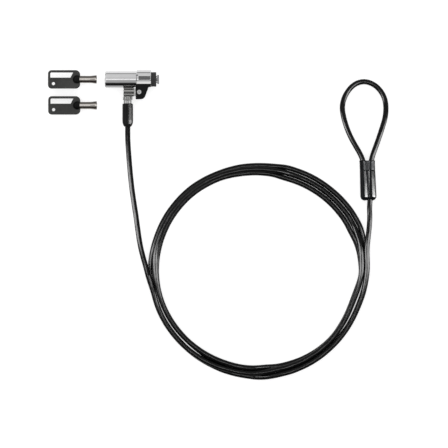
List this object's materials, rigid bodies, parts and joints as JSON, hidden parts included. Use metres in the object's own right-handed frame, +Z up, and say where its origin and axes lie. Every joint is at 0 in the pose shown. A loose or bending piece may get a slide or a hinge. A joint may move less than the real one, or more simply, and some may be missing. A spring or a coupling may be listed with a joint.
{
  "type": "laptop cable lock",
  "caption": "Security cable lock for a laptop: a swivelling tubular-key T-bar lock head on a coiled vinyl-coated steel cable with an anchor loop, and two keys.",
  "frame": {"origin": "centre of the wound coil, on the plane the cable rests on", "axes": "+Z up; +X from the lock head side towards the anchor loop side, parallel to the lock axis with the T-bar end towards +X; +Y from the coil towards the lock head and the loop"},
  "size_m": [0.2555, 0.2326, 0.0145],
  "materials": {
    "cable_vinyl": "black vinyl jacket over rope-laid wire, satin sheen",
    "wire_rope": "galvanised wire rope",
    "boot_plastic": "black moulded plastic, semi-gloss",
    "nickel": "nickel plated",
    "chrome": "bright chrome plated zinc",
    "spring_steel": "plain steel",
    "washer_plastic": "natural nylon",
    "black_bracket": "black powder coat, satin",
    "brass": "machined brass",
    "gasket_rubber": "dark grey rubber, ribbed",
    "hardened_steel": "hardened steel, machined",
    "key_plastic": "dark grey moulded plastic, finely ruled",
    "key_boss": "black moulded plastic",
    "key_nickel": "nickel plated steel tube",
    "sleeve_plastic": "glossy blue-black moulded plastic",
    "crimp_aluminium": "swaged aluminium"
  },
  "bodies": {
    "coil": {"cable_jacket_coil": "cable_vinyl", "wire_core_coil": "wire_rope"},
    "lead": {"cable_jacket_lead": "cable_vinyl", "wire_core_lead": "wire_rope", "strain_boot": "boot_plastic", "crimp_ferrule": "nickel", "swivel_clip": "spring_steel"},
    "neck": {"neck_block": "chrome", "swivel_collar": "nickel", "hinge_washers": "washer_plastic"},
    "bracket": {"swivel_bracket": "black_bracket", "collar_hood": "chrome", "hinge_rivet": "nickel"},
    "barrel": {"barrel_shell": "chrome", "keyway_sleeve": "nickel", "pin_housing": "brass", "housing_pin": "spring_steel", "driver_pins": "brass", "driver_springs": "spring_steel", "nose_plate": "nickel", "guard_pins": "spring_steel", "gasket_ring": "gasket_rubber"},
    "core": {"core_rotor": "brass", "drive_spindle": "spring_steel", "rotor_pin": "spring_steel", "t_bar": "hardened_steel", "t_bar_pin": "spring_steel"},
    "key_pin_set": {"key_pins": "brass"},
    "key_1": {"key_1_bow": "key_plastic", "key_1_boss": "key_boss", "key_1_tube": "key_nickel"},
    "key_2": {"key_2_bow": "key_plastic", "key_2_boss": "key_boss", "key_2_tube": "key_nickel"},
    "tail": {"cable_jacket_tail": "cable_vinyl", "wire_core_tail": "wire_rope", "loop_sleeve": "sleeve_plastic", "loop_crimp": "crimp_aluminium"}
  },
  "joints": [
    {"name": "lead_flex", "type": "hinge", "parent": "coil", "child": "lead", "pos_m": [-0.0879, 0.01688, 0.00638], "axis": [0.9748, 0.2232, 0], "range_deg": [0, 35]},
    {"name": "tail_flex", "type": "hinge", "parent": "coil", "child": "tail", "pos_m": [0.08321, 0.03637, 0.00518], "axis": [0.9999, -0.0161, 0], "range_deg": [0, 35]},
    {"name": "cable_swivel", "type": "hinge", "parent": "lead", "child": "neck", "pos_m": [-0.09805, 0.131, 0.0072], "axis": [0, 1, 0], "range_deg": [-180, 180]},
    {"name": "neck_hinge", "type": "hinge", "parent": "neck", "child": "bracket", "pos_m": [-0.0893, 0.1351, 0.0072], "axis": [0, 0, -1], "range_deg": [0, 90]},
    {"name": "barrel_spin", "type": "hinge", "parent": "bracket", "child": "barrel", "pos_m": [-0.086, 0.1448, 0.0072], "axis": [1, 0, 0], "continuous": true},
    {"name": "core_turn", "type": "hinge", "parent": "barrel", "child": "core", "pos_m": [-0.09, 0.1448, 0.0072], "axis": [1, 0, 0], "range_deg": [0, 90]},
    {"name": "key_insert", "type": "slide", "parent": "core", "child": "key_1", "axis": [1, 0, 0], "range_m": [0, 0.01315]},
    {"name": "pin_press", "type": "slide", "parent": "core", "child": "key_pin_set", "axis": [1, 0, 0], "range_m": [0, 0.00115]},
    {"name": "spare_key_lift", "type": "slide", "parent": "coil", "child": "key_2", "axis": [0, 0, 1], "range_m": [0, 0.03]}
  ],
  "couplings": [
    {"joint": "pin_press", "follows": "key_insert", "ratio": 0.08745}
  ]
}
